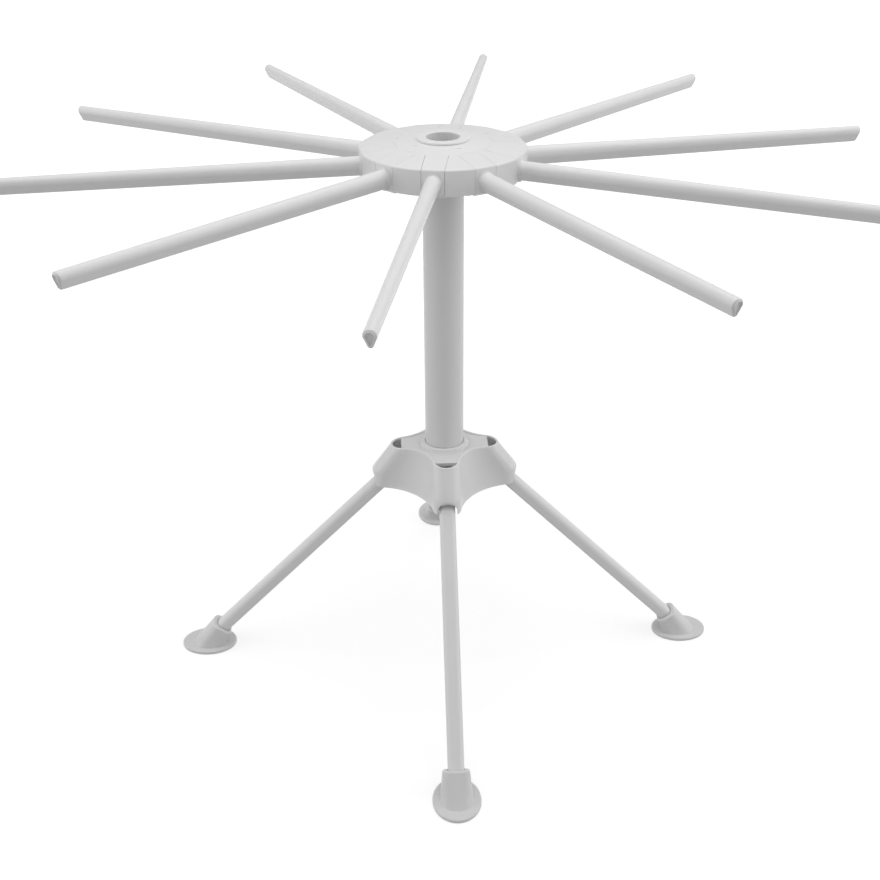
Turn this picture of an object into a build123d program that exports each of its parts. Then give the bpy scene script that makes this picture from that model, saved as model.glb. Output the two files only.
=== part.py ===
from build123d import *
import os
from math import asin, cos, pi, radians, sin, tan

# A folding pasta drying rack of white moulded plastic: ten arms hinged on a wire ring under a round hub,
# a hollow pole, a spider and a four-lobed collar at its foot, and four legs with oval feet.
# Millimetres, +Z up. The origin is on the table, on the axis of the pole. The legs lie along X and Y.

# Layout
rack_height = 292.0  # table to the top of the ring round the centre hole
arm_reach = 213.4  # axis to the tip of an arm
arm_count = 10
arm_turn = 9.0  # degrees from +X to the first arm
leg_count = 4
leg_spread = 45.0  # degrees between an open leg and the upright

# Clearances
pin_clearance = 0.08  # radial, round the wire and the leg pins
side_clearance = 0.25  # each side of a root in its slot or fork
end_clearance = 0.3  # past the end of a moving piece
push_clearance = 0.05  # radial, where one piece is pushed into another
slide_clearance = 0.15  # radial, the spider on the pole
stop_gap = 0.1  # between a heel or root and the face that stops it
overrun = 6.0  # how far a cut runs past the material

# Pole
pole_radius = 10.1
pole_bore_radius = 8.0
pole_foot_step = 0.6  # the bore is this much wider at the pole's foot, for the cap

# Ring bush round the centre hole
bush_flange = 2.5  # past the pole's outside
bush_flange_height = 1.2
bush_barrel_length = 4.2
bush_lip_round = 0.55

# Hub
hub_radius = 40.0
hub_rim_height = 12.0
hub_dome_rise = 3.4  # from the rim up to the flat round the hole
hub_plate = 2.2
hub_rim_wall = 2.0
hub_edge_round = 0.9
hub_boss_wall = 4.35
hub_boss_drop = 17.0  # below the rim's top edge
slot_length = 17.0  # of an arm's slot, in from the hub's edge
ledge_drop = 3.3  # top of the ledge that stops the arm roots, below the rim's top edge
ledge_reach = 2.7  # past the slot's start
ledge_wall = 2.0
ear_wall = 1.6
ear_drop = 1.5  # below the bottom of the rim
ear_reach = 3.6  # either side of the wire
mark_radius = 1.1  # round moulding marks on the hub's top
mark_depth = 0.2
mark_radius_shares = (0.56, 0.42, 0.64, 0.43)  # of the hub's radius
mark_turns = (167.3, 216.5, 32.2, 293.5)  # degrees from +X

# Wire ring that hinges the arms
wire_radius = 1.1
wire_inset = 6.5  # from the hub's edge to the wire where it crosses an arm
wire_rise = 1.8  # above the bottom of the rim
wire_bend = 4.0
wire_tail_length = 7.5
wire_tail_pitch = 5.0
wire_tail_share = 0.9  # of the wire's radius, from the tail's middle to a strand's

# Arms
root_width = 10.4
root_cover = 1.6  # plastic under the wire and behind it
root_nose = 1.4  # chamfer under the root's outer face
ridge_drop = 2.5  # top of an arm below the rim's top edge
rod_sink = 2.0  # how far the rod runs into its root
rod_root_width = 7.4
rod_root_height = 9.2
rod_root_keel = 1.5  # radius of the narrow underside
rod_tip_width = 5.3
rod_tip_height = 7.6
rod_tip_keel = 1.2
tip_slant = 1.3  # the tip's underside is this much shorter than its top
tip_round = 0.8
tip_panel_border = 0.95
tip_panel_depth = 0.5

# Spider that carries the legs
spider_height = 16.8
spider_wall = 2.1
plate_drop = 1.8  # top of the plate over the forks, below the top of the sleeve
plate_wall = 2.0
plate_set_back = 0.4  # from the leg pin to the plate's end
fork_width = 9.8
fork_wall = 1.8
fork_nose_wall = 1.75  # round the leg pin
leg_pin_circle = 23.5
leg_pin_rise = 4.0  # above the bottom of the sleeve
leg_pin_radius = 1.25

# Legs
leg_width = 8.3
leg_depth = 7.0
leg_outer_round = 2.9
leg_inner_round = 1.3
leg_end_height = 7.2  # middle of the leg's end, inside the foot, above the table
shoulder_room = 1.4  # between the fork's nose and the leg's full section
knuckle_wall = 1.77
heel_room = 3.85  # between the sleeve and the heel
heel_height = 3.2

# Collar
collar_bottom = 105.5  # height above the table
collar_wall = 1.3
collar_height = 23.9
collar_reach = 39.3  # axis to the end of a lobe
collar_rim_fall = 1.0  # the rim is lower at a lobe's tip than between lobes
collar_nose_room = 1.4  # between a fork's nose and the end of the lobe's top edge, measured outside
collar_fork_room = 1.0  # beside a fork
collar_plate_room = 0.3  # round the spider's plate
collar_sleeve_room = 3.35  # between the sleeve and the hollows between lobes
shoulder_height = 8.5
shoulder_side = 7.2  # radius of a lobe's end at its shoulder
shoulder_flare = 3.5  # how much further out the hollows are there than at the top
bottom_side = 7.5
bottom_flare = 6.0
shoulder_round_shares = (0.27, 0.14)  # of the wall below and above the shoulder, where its rounding starts
shoulder_cut_share = 0.3  # how far the rounding cuts in towards the line between those two levels
arch_side_room = 1.05  # beside the leg
arch_top_room = 3.85  # above the leg, at the inside of the lobe's end
web_rise = 2.0  # underside of the floor above the collar's bottom edge
web_wall = 2.0
window_room = 0.8  # between an upright leg and its window in the floor
socket_wall = 2.3
socket_rise = 4.0  # above the floor
heel_rest_width = 6.0

# Feet
foot_half_length = 15.4
foot_half_width = 12.2
foot_set_out = 3.4  # from the end of the leg to the middle of the pad
foot_pad = 1.9
foot_pad_round = 0.7
foot_sole_round = 0.35
hood_side_wall = 2.75
hood_face_wall = 2.15
hood_mouth_round = 3.6
hood_mouth_tilt = 14.0  # degrees, its outer edge is further down the leg
hood_mouth_drop = 1.4  # of the mouth's middle, further down than its inner edge
hood_set_out = 2.5  # from the end of the leg to the middle of the hood's foot
hood_foot_length = 19.0
hood_foot_width = 16.4
hood_foot_flat = 0.6  # half of the straight between the rounds at its ends
hood_lip = 0.55
hood_lip_depth = 0.9
hood_socket_depth = 9.5
hood_socket_spare = 0.4  # past the end of the leg

# Cap in the foot of the pole
cap_flange = 1.5  # past the pole's outside
cap_flange_height = 1.7
cap_plug_length = 9.0
cap_wall = 1.6

# Hub and arms, worked out
rim_top = rack_height - bush_flange_height - hub_dome_rise
dome_top = rim_top + hub_dome_rise
pole_top = dome_top - bush_barrel_length
pole_socket_radius = pole_radius + push_clearance
bush_flange_radius = pole_radius + bush_flange
hub_boss_radius = pole_socket_radius + hub_boss_wall
slot_start = hub_radius - slot_length
slot_width = root_width + 2 * side_clearance
ledge_top = rim_top - ledge_drop
ledge_end = slot_start + ledge_reach
wire_circle = hub_radius - wire_inset
wire_height = rim_top - hub_rim_height + wire_rise
wire_hole_radius = wire_radius + pin_clearance
wire_cover = wire_hole_radius + root_cover
root_bottom = wire_height - wire_cover
ridge_height = rim_top - ridge_drop

# Spider and legs, worked out
web_bottom = collar_bottom + web_rise
web_top = web_bottom + web_wall
socket_top = web_top + socket_rise
spider_bottom = socket_top
spider_top = spider_bottom + spider_height
sleeve_bore_radius = pole_radius + slide_clearance
sleeve_radius = sleeve_bore_radius + spider_wall
plate_top = spider_top - plate_drop
plate_bottom = plate_top - plate_wall
plate_end = leg_pin_circle - plate_set_back
fork_inside = fork_width - 2 * fork_wall
fork_nose = leg_pin_radius + fork_nose_wall
leg_pin_height = spider_bottom + leg_pin_rise
leg_pin_hole_radius = leg_pin_radius + pin_clearance
knuckle_width = fork_inside - 2 * side_clearance
knuckle_radius = leg_pin_hole_radius + knuckle_wall
leg_shoulder = fork_nose + shoulder_room
leg_length = (leg_pin_height - leg_end_height) / cos(radians(leg_spread))
leg_end = leg_pin_circle + leg_length * sin(radians(leg_spread))
heel_start = sleeve_radius + heel_room

# Collar and feet, worked out: each level of the collar is lobe centre, lobe radius, valley radius, height
arch_width = leg_width + 2 * arch_side_room
arch_run = collar_reach - collar_wall - leg_pin_circle
leg_top_height = leg_pin_height + leg_depth / 2 / sin(radians(leg_spread))  # over the pin
arch_top = leg_top_height - arch_run / tan(radians(leg_spread)) + arch_top_room
window_start = leg_pin_circle - leg_depth / 2 - window_room
top_side = fork_width / 2 + collar_fork_room + collar_wall
top_reach = leg_pin_circle + fork_nose + collar_nose_room
top_valley = sleeve_radius + collar_sleeve_room + collar_wall
top_level = (top_reach - top_side, top_side, top_valley, collar_bottom + collar_height)
shoulder_valley = top_valley + shoulder_flare
shoulder_top = collar_bottom + shoulder_height
shoulder_level = (collar_reach - shoulder_side, shoulder_side, shoulder_valley, shoulder_top)
bottom_level = (collar_reach - bottom_side, bottom_side, top_valley + bottom_flare, collar_bottom)
hood_mouth = leg_length - hood_socket_depth
hood_mouth_width = leg_width + 2 * hood_side_wall
hood_mouth_depth = leg_depth + 2 * hood_face_wall
hood_foot_round = hood_foot_width / 2 - hood_foot_flat
cap_radius = pole_radius + cap_flange
pole_foot_bore_radius = pole_bore_radius + pole_foot_step

FLOOR = (Align.CENTER, Align.CENTER, Align.MIN)


def drum(radius, low, high):
    return Pos(0, 0, low) * Cylinder(radius, high - low, align=FLOOR)


def ring(outer, inner, low, high):
    return drum(outer, low, high) - drum(inner, low - overrun, high + overrun)


def bar(start, end, width, low, high):
    """A block that runs outwards along +X."""
    return Pos((start + end) / 2, 0, low) * Box(end - start, width, high - low, align=FLOOR)


def across(radius, length, at, height):
    """A round bar along Y, for pins and the holes that they turn in."""
    return Pos(at, 0, height) * Rot(90, 0, 0) * Cylinder(radius, length)


def side_plate(points, width, side=0):
    """A plate in the plane of the radius and the upright, `width` thick."""
    face = make_face(Polyline(*points, close=True))
    plate = extrude(Plane.XZ * face, width / 2, both=True)
    return Pos(0, side, 0) * plate


def turned(points):
    """A solid of revolution from points of radius and height."""
    return revolve(Plane.XZ * make_face(Polyline(*points, close=True)), Axis.Z)


def arm_angles():
    return [arm_turn + 360 * number / arm_count for number in range(arm_count)]


def leg_angles():
    return [360 * number / leg_count for number in range(leg_count)]


def save(piece, name):
    piece.label = name
    export_step(piece, f"parts/{name}.step")


def hub_envelope(height):
    """The outside of the hub, which the arm roots are flush with: a shallow cone on a drum."""
    body = turned(
        [
            (0, rim_top - height),
            (hub_radius, rim_top - height),
            (hub_radius, rim_top),
            (bush_flange_radius, dome_top),
            (0, dome_top),
        ]
    )
    circles = body.edges().filter_by(GeomType.CIRCLE)
    rim = [edge for edge in circles if abs(edge.center().Z - rim_top) < hub_edge_round / 2]
    return fillet(rim, hub_edge_round)


def hub_hollow():
    inner_top = rim_top - hub_plate
    inner_radius = hub_radius - hub_rim_wall
    low = rim_top - hub_rim_height - overrun
    return turned(
        [
            (0, low),
            (inner_radius, low),
            (inner_radius, inner_top),
            (bush_flange_radius, inner_top + hub_dome_rise),
            (0, inner_top + hub_dome_rise),
        ]
    )


def hub_drum():
    """The boss on the pole, the ledge that the arm roots rest on and the wall that closes their slots."""
    high = dome_top - hub_plate / 2
    boss = drum(hub_boss_radius, rim_top - hub_boss_drop, high)
    ledge = drum(ledge_end, ledge_top - ledge_wall, ledge_top)
    wall = ring(slot_start, slot_start - ledge_wall, ledge_top - ledge_wall, rim_top)
    return boss + ledge + wall


def hub_ears():
    """Two walls beside a slot that the wire runs through."""
    low = rim_top - hub_rim_height
    start = slot_start - ledge_wall
    end = hub_radius - hub_rim_wall / 2
    outline = [
        (start, rim_top),
        (start, ledge_top - ledge_wall),
        (ledge_end, low),
        (wire_circle - ear_reach, low),
        (wire_circle - ear_reach / 2, low - ear_drop),
        (wire_circle + ear_reach / 2, low - ear_drop),
        (wire_circle + ear_reach, low),
        (end, low),
        (end, rim_top - hub_plate / 2),
    ]
    side = (slot_width + ear_wall) / 2
    return side_plate(outline, ear_wall, side) + side_plate(outline, ear_wall, -side)


def slot_cut():
    high = dome_top + overrun
    shallow = bar(slot_start, hub_radius, slot_width, ledge_top, high)
    deep = bar(ledge_end, hub_radius + overrun, slot_width, root_bottom - overrun, high)
    return shallow + deep


def make_hub():
    hub = hub_envelope(hub_rim_height) - hub_hollow() + hub_drum()
    for angle in arm_angles():
        hub += Rot(0, 0, angle) * hub_ears()
    wire_hole = across(wire_hole_radius, slot_width + 4 * ear_wall, wire_circle, wire_height)
    for angle in arm_angles():
        hub -= Rot(0, 0, angle) * (slot_cut() + wire_hole)
    hub -= drum(pole_socket_radius, rim_top - hub_boss_drop - overrun, dome_top + overrun)
    for share, angle in zip(mark_radius_shares, mark_turns):
        radius = share * hub_radius
        fall = (radius - bush_flange_radius) / (hub_radius - bush_flange_radius) * hub_dome_rise
        floor = dome_top - max(fall, 0) - mark_depth
        hub -= Rot(0, 0, angle) * Pos(radius, 0, 0) * drum(mark_radius, floor, floor + overrun)
    return hub


def make_bush():
    """A flanged ring pushed into the hub's hole, down to the end of the pole."""
    flange = drum(bush_flange_radius, dome_top, rack_height)
    bush = flange + drum(pole_radius, pole_top, dome_top)
    bush -= drum(pole_bore_radius, pole_top - overrun, rack_height + overrun)
    circles = bush.edges().filter_by(GeomType.CIRCLE)
    lip = [edge for edge in circles if edge.center().Z > rack_height - bush_lip_round]
    return fillet(lip, bush_lip_round)


def make_pole():
    pole = ring(pole_radius, pole_bore_radius, web_bottom, pole_top)
    foot_bore_top = web_bottom + cap_plug_length + end_clearance
    return pole - drum(pole_foot_bore_radius, web_bottom - overrun, foot_bore_top)


def make_cap():
    """A cup that plugs the pole, with a flange that holds the collar up."""
    cap_bottom = web_bottom - cap_flange_height
    plug_top = web_bottom + cap_plug_length
    plug_radius = pole_foot_bore_radius - push_clearance
    cap = drum(cap_radius, cap_bottom, web_bottom) + drum(plug_radius, web_bottom, plug_top)
    return cap - drum(plug_radius - cap_wall, cap_bottom - overrun, plug_top - cap_wall)


def make_wire():
    """One wire, straight through each arm and bent between arms, with its two ends twisted together."""
    corner = wire_circle / cos(pi / arm_count)
    turns = [radians(angle + 180 / arm_count) for angle in arm_angles()]
    corners = [Vector(corner * cos(turn), corner * sin(turn), wire_height) for turn in turns]
    path = FilletPolyline(*corners, radius=wire_bend, close=True)
    wire = sweep(Plane(origin=path @ 0, z_dir=path % 0) * Circle(wire_radius), path)
    bend_depth = wire_bend * (1 / cos(pi / arm_count) - 1)
    tail_at = corner - bend_depth
    spread = wire_radius * wire_tail_share
    helix = Helix(wire_tail_pitch, wire_tail_length, spread)
    strand = sweep(Plane(origin=helix @ 0, z_dir=helix % 0) * Circle(wire_radius), helix, is_frenet=True)
    tail_turn = arm_angles()[arm_count // 4] + 180 / arm_count
    seat = Rot(0, 0, tail_turn) * Pos(tail_at, 0, wire_height - wire_tail_length)
    return wire + seat * strand + seat * Rot(0, 0, 180) * strand


def rod_section(at, width, height, keel, border=0):
    """A drop-shaped section: a round top, straight flanks and a narrow round underside."""
    crown = width / 2 - border
    foot = keel - border
    crown_height = ridge_height - width / 2
    foot_height = ridge_height - height + keel
    lean = asin((crown - foot) / (crown_height - foot_height))
    out, down = cos(lean), sin(lean)
    crown_side = (crown * out, crown_height - crown * down)
    foot_side = (foot * out, foot_height - foot * down)
    outline = (
        ThreePointArc((-crown_side[0], crown_side[1]), (0, crown_height + crown), crown_side)
        + Line(crown_side, foot_side)
        + ThreePointArc(foot_side, (0, foot_height - foot), (-foot_side[0], foot_side[1]))
        + Line((-foot_side[0], foot_side[1]), (-crown_side[0], crown_side[1]))
    )
    return Plane(origin=(at, 0, 0), x_dir=(0, 1, 0), z_dir=(1, 0, 0)) * make_face(outline)


def beyond_tip(depth=0):
    """What lies past the slanted end of an arm, or past a plane `depth` behind it."""
    low = ridge_height - rod_tip_height - overrun
    high = ridge_height + overrun
    fall = tip_slant / rod_tip_height
    end = arm_reach - depth
    points = [
        (end + fall * overrun, high),
        (end - fall * (ridge_height - low), low),
        (end + 2 * overrun, low),
        (end + 2 * overrun, high),
    ]
    return side_plate(points, rod_tip_width + 2 * overrun)


def make_rod():
    start = rod_section(hub_radius - rod_sink, rod_root_width, rod_root_height, rod_root_keel)
    end = rod_section(arm_reach, rod_tip_width, rod_tip_height, rod_tip_keel)
    rod = loft([start, end], ruled=True) - beyond_tip()
    tip = rod.faces().sort_by(Axis.X)[-1]
    rod = fillet(tip.edges(), tip_round)
    panel_start = rod_section(
        arm_reach - tip_slant - overrun, rod_tip_width, rod_tip_height, rod_tip_keel, tip_panel_border
    )
    panel = extrude(panel_start, 2 * overrun) & beyond_tip(tip_panel_depth)
    return rod - panel


def make_root():
    """The block in the hub's slot, flush with the hub's top and rim, on the wire."""
    start = slot_start + end_clearance
    heel = ledge_top + stop_gap
    heel_end = ledge_end + 3 * end_clearance
    outline = [
        (start, heel),
        (heel_end, heel),
        (wire_circle - wire_cover, root_bottom),
        (hub_radius - root_nose, root_bottom),
        (hub_radius + root_nose, root_bottom + 2 * root_nose),
        (hub_radius + root_nose, dome_top + overrun),
        (start, dome_top + overrun),
    ]
    return side_plate(outline, root_width) & hub_envelope(2 * hub_rim_height)


def make_arm():
    return make_root() + make_rod() - across(wire_hole_radius, slot_width, wire_circle, wire_height)


def lobed_face(centre, radius, valley, height):
    """A flat face with a round lobe over each leg, joined by one hollow arc between two lobes.

    The hollow arc touches both lobes, which fixes its radius once the valley's radius is given.
    """
    half = pi / leg_count
    reach = centre * cos(half)
    hollow = (radius**2 - valley**2 + 2 * reach * valley - centre**2) / (2 * (valley - reach - radius))
    middle = valley + hollow
    share = radius / (radius + hollow)
    joint_x = centre + (middle * cos(half) - centre) * share
    joint_y = middle * sin(half) * share
    valley_point = (valley * cos(half), valley * sin(half))
    next_joint = Vector(joint_x, -joint_y).rotate(Axis.Z, 360 / leg_count)
    lobe = ThreePointArc((joint_x, -joint_y), (centre + radius, 0), (joint_x, joint_y))
    side = lobe + ThreePointArc((joint_x, joint_y), valley_point, next_joint)
    outline = Curve()
    for angle in leg_angles():
        outline += Rot(0, 0, angle) * side
    return Pos(0, 0, height) * make_face(outline)


def between(first, second, share):
    """A level part of the way from one level of the collar to another."""
    return tuple(a + share * (b - a) for a, b in zip(first, second))


def collar_levels():
    """The collar's outside at rising heights, three of them where its shoulder is rounded."""
    below = between(shoulder_level, bottom_level, shoulder_round_shares[0])
    above = between(shoulder_level, top_level, shoulder_round_shares[1])
    rounded = between(shoulder_level, between(below, above, 0.5), shoulder_cut_share)
    return [bottom_level, below, rounded, above, top_level]


def lobed_body(inset, spare=0):
    """The collar's outside, or with an inset its inside, run on past both ends by `spare`."""
    faces = [
        lobed_face(centre, radius - inset, valley - inset, height)
        for centre, radius, valley, height in collar_levels()
    ]
    body = loft(faces, ruled=True)
    if spare:
        body += extrude(faces[0], -spare) + extrude(faces[-1], spare)
    return body


def above_rim():
    """What lies above the collar's rim, which falls towards the tips of the lobes."""
    high = collar_bottom + collar_height
    tip = top_reach + collar_rim_fall
    end = collar_reach + overrun
    return turned(
        [
            (0, high + overrun),
            (0, high),
            (top_valley, high),
            (tip, high - collar_rim_fall),
            (end, high - collar_rim_fall),
            (end, high + overrun),
        ]
    )


def arch_cut():
    """A round-topped opening in a lobe's end wall, where the leg comes out."""
    spring = arch_top - arch_width / 2
    end = collar_reach + overrun
    straight = bar(window_start, end, arch_width, min(spring, collar_bottom) - overrun, spring)
    crown = Rot(0, 90, 0) * Cylinder(arch_width / 2, end - window_start)
    return straight + Pos((window_start + end) / 2, 0, spring) * crown


def make_web():
    """The collar's floor, with a window for each leg, the pole's socket and the pedestals under the heels."""
    web = lobed_body(collar_wall / 2) & drum(collar_reach + overrun, web_bottom, web_top)
    web += drum(pole_socket_radius + socket_wall, web_bottom, socket_top)
    rest = bar(pole_radius, window_start, heel_rest_width, web_bottom, socket_top)
    window_end = collar_reach - collar_wall
    window = bar(window_start, window_end, arch_width, web_bottom - overrun, web_top + overrun)
    for angle in leg_angles():
        web += Rot(0, 0, angle) * rest
        web -= Rot(0, 0, angle) * window
    return web


def make_collar():
    collar = lobed_body(0) - lobed_body(collar_wall, overrun)
    collar -= above_rim()
    collar += make_web()
    for angle in leg_angles():
        collar -= Rot(0, 0, angle) * arch_cut()
    return collar - drum(pole_socket_radius, collar_bottom - overrun, socket_top + overrun)


def fork_side():
    """The outline of one side of a fork: from the sleeve out to the round nose about the leg pin."""
    nose_bottom = leg_pin_height - fork_nose
    side = side_plate(
        [
            (pole_radius, plate_top),
            (plate_end, plate_top),
            (leg_pin_circle + fork_nose, leg_pin_height),
            (leg_pin_circle, nose_bottom),
            (pole_radius, nose_bottom),
        ],
        fork_width,
    )
    return side + across(fork_nose, fork_width, leg_pin_circle, leg_pin_height)


def make_plate():
    """The flat plate over the forks, which fills the collar's mouth up to a straight end in each lobe."""
    centre, radius, valley, _ = top_level
    inset = collar_wall + collar_plate_room
    lobed = extrude(lobed_face(centre, radius - inset, valley - inset, plate_bottom), plate_wall)
    return lobed & Pos(0, 0, plate_bottom) * Box(2 * plate_end, 2 * plate_end, plate_wall, align=FLOOR)


def make_spider():
    end = leg_pin_circle + fork_nose + overrun
    fork = fork_side()
    fork -= bar(sleeve_bore_radius, end, fork_inside, spider_bottom - overrun, plate_bottom)
    fork -= bar(plate_end, end, fork_inside, spider_bottom, spider_top)
    fork -= across(leg_pin_radius, fork_width + overrun, leg_pin_circle, leg_pin_height)
    spider = drum(sleeve_radius, spider_bottom, spider_top) + make_plate()
    for angle in leg_angles():
        spider += Rot(0, 0, angle) * fork
    return spider - drum(sleeve_bore_radius, spider_bottom - overrun, spider_top + overrun)


def make_leg_pins():
    pin = across(leg_pin_radius, fork_width, leg_pin_circle, leg_pin_height)
    return Compound(children=[Rot(0, 0, angle) * pin for angle in leg_angles()])


def leg_section(grow=0):
    """The leg's section: a bar with a well rounded outer face. +X is outwards."""
    depth = leg_depth + 2 * grow
    face = Rectangle(depth, leg_width + 2 * grow)
    outer = face.vertices().sort_by(Axis.X)[-2:]
    face = fillet(outer, leg_outer_round + grow)
    inner = face.vertices().sort_by(Axis.X)[:2]
    return fillet(inner, leg_inner_round + grow)


def opened(piece):
    """A piece drawn hanging from the leg pin, swung out to the open leg's place over +X."""
    return Pos(leg_pin_circle, 0, leg_pin_height) * Rot(0, -leg_spread, 0) * piece


def make_leg():
    shank = extrude(Pos(0, 0, -leg_shoulder) * leg_section(), -(leg_length - leg_shoulder))
    knuckle = across(knuckle_radius, knuckle_width, 0, 0)
    knuckle += bar(-knuckle_radius, knuckle_radius, knuckle_width, -2 * leg_shoulder, 0)
    heel_low = socket_top + stop_gap
    heel = bar(heel_start, leg_pin_circle, knuckle_width, heel_low, heel_low + heel_height)
    pin_hole = across(leg_pin_hole_radius, fork_width, leg_pin_circle, leg_pin_height)
    return opened(shank + knuckle) + heel - pin_hole


def make_foot():
    """An oval pad with a shoe-like hood that the leg is pushed into."""
    pad = extrude(Pos(leg_end + foot_set_out, 0, 0) * Ellipse(foot_half_length, foot_half_width), foot_pad)
    pad = fillet(pad.edges().group_by(Axis.Z)[-1], foot_pad_round)
    pad = fillet(pad.edges().group_by(Axis.Z)[0], foot_sole_round)
    mouth_outline = RectangleRounded(hood_mouth_depth, hood_mouth_width, hood_mouth_round)
    base_outline = RectangleRounded(hood_foot_length, hood_foot_width, hood_foot_round)
    base = Pos(leg_end + hood_set_out, 0, foot_pad - foot_pad_round) * base_outline
    mouth = Pos(0, 0, -hood_mouth - hood_mouth_drop) * Rot(0, hood_mouth_tilt, 0)
    hood = loft([base, opened(mouth * mouth_outline)], ruled=True)
    socket_end = Pos(0, 0, -leg_length - hood_socket_spare) * leg_section(push_clearance)
    socket = extrude(socket_end, hood_socket_depth + hood_socket_spare + overrun)
    lip_floor = mouth * Pos(0, 0, -hood_lip_depth) * leg_section(hood_lip)
    lip = extrude(lip_floor, hood_lip_depth + overrun)
    return pad + hood - opened(socket + lip)


os.makedirs("parts", exist_ok=True)
save(make_hub(), "hub")
save(make_bush(), "ring_bush")
save(make_wire(), "hinge_wire")
save(make_pole(), "pole")
save(make_cap(), "pole_cap")
save(make_collar(), "collar")
save(make_spider(), "spider")
save(make_leg_pins(), "leg_pins")
arm = make_arm()
for number, angle in enumerate(arm_angles(), 1):
    save(Rot(0, 0, angle) * arm, f"arm_{number}")
leg = make_leg()
foot = make_foot()
for number, angle in enumerate(leg_angles(), 1):
    save(Rot(0, 0, angle) * leg, f"leg_{number}")
    save(Rot(0, 0, angle) * foot, f"foot_{number}")
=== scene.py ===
from math import atan2, cos, pi, radians, sin, sqrt, tan

import bmesh
import bpy
import numpy as np
from mathutils import Euler, Matrix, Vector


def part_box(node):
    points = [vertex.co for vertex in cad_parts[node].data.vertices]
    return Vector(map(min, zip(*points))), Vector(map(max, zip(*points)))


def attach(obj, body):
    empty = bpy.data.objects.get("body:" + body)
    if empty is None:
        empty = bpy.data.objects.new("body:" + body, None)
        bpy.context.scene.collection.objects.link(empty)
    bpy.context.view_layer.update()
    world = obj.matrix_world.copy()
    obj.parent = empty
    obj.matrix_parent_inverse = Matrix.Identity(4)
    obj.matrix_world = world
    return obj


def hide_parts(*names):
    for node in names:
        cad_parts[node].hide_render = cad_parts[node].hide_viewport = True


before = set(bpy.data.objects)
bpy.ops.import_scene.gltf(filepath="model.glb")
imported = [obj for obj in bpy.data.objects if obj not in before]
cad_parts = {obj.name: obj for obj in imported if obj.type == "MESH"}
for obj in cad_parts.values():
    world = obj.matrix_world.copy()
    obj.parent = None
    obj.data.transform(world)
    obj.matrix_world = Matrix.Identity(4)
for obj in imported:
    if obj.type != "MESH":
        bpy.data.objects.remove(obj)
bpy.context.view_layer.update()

# Pole
# A plain tube of white plastic, cut to length and pressed into the hub above and the collar below.
# Drawing the tube through its die leaves faint straight streaks along it.
MM = 0.001
MERGE = 0.0001 * MM
pole_low, pole_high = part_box("pole")
pole_radius = pole_high.x
pole_bore_radius = 8.0 * MM
pole_end_round = 0.35 * MM


def add_piece(name, *grids, crease=40):
    """One mesh from grids of points: each four neighbours in a grid make a face.

    Points that meet are merged, so a grid whose last column repeats its first is a closed tube.
    """
    points, faces, first = [], [], 0
    for grid in grids:
        rows, columns = grid.shape[:2]
        index = first + np.arange(rows * columns).reshape(rows, columns)
        corners = (index[:-1, :-1], index[:-1, 1:], index[1:, 1:], index[1:, :-1])
        faces.append(np.stack(corners, axis=-1).reshape(-1, 4))
        points.append(grid.reshape(-1, 3))
        first += rows * columns
    mesh = bpy.data.meshes.new(name)
    mesh.from_pydata(np.concatenate(points).tolist(), [], np.concatenate(faces).tolist())
    shell = bmesh.new()
    shell.from_mesh(mesh)
    bmesh.ops.remove_doubles(shell, verts=shell.verts, dist=MERGE)
    bmesh.ops.recalc_face_normals(shell, faces=shell.faces)
    shell.to_mesh(mesh)
    shell.free()
    mesh.shade_smooth()
    mesh.set_sharp_from_angle(angle=radians(crease))
    piece = bpy.data.objects.new(name, mesh)
    bpy.context.scene.collection.objects.link(piece)
    flat = piece.modifiers.new("flat faces stay flat", "WEIGHTED_NORMAL")
    flat.keep_sharp = True
    return piece


def round_corners(points, radii, steps=4):
    """A closed outline whose corners are circular arcs.

    Each arc is a conic from one side to the next, with the corner as its middle point and the sine of half
    the corner's angle as its weight, which makes it a circle's.
    """
    points = np.array(points, float)
    to_last = np.roll(points, 1, axis=0) - points
    to_next = np.roll(points, -1, axis=0) - points
    last_run = np.linalg.norm(to_last, axis=1)
    next_run = np.linalg.norm(to_next, axis=1)
    to_last /= last_run[:, None]
    to_next /= next_run[:, None]
    half = np.arccos(np.clip((to_last * to_next).sum(axis=1), -1, 1)) / 2
    reach = np.minimum(np.array(radii) / np.tan(half), 0.49 * np.minimum(last_run, next_run))[:, None, None]
    share = np.linspace(0, 1, steps + 1)[None, :, None]
    weight = np.sin(half)[:, None, None]
    corner = points[:, None, :]
    start, end = corner + to_last[:, None, :] * reach, corner + to_next[:, None, :] * reach
    first, middle, last = (1 - share) ** 2, 2 * weight * share * (1 - share), share**2
    return ((first * start + middle * corner + last * end) / (first + middle + last)).reshape(-1, 2)


def lathe(outline, turns=96):
    """A closed outline of radius and height carried round Z: x = r cos t, y = r sin t."""
    outline = np.concatenate((outline, outline[:1]))
    turn = np.linspace(0, 2 * pi, turns + 1)
    radius, height = outline[:, :1], outline[:, 1:]
    return np.stack((radius * np.cos(turn), radius * np.sin(turn), height + 0 * turn), axis=-1)


class Value:
    """A number or colour that varies over a surface, which Python's operators act on."""

    def __init__(self, finish, socket):
        self.finish = finish
        self.socket = socket

    def maths(self, operation, first, second):
        return self.finish.node("ShaderNodeMath", {"operation": operation}, {0: first, 1: second})

    def __add__(self, other):
        return self.maths("ADD", self, other)

    def __radd__(self, other):
        return self.maths("ADD", other, self)

    def __sub__(self, other):
        return self.maths("SUBTRACT", self, other)

    def __rsub__(self, other):
        return self.maths("SUBTRACT", other, self)

    def __mul__(self, other):
        return self.maths("MULTIPLY", self, other)

    def __rmul__(self, other):
        return self.maths("MULTIPLY", other, self)


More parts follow.
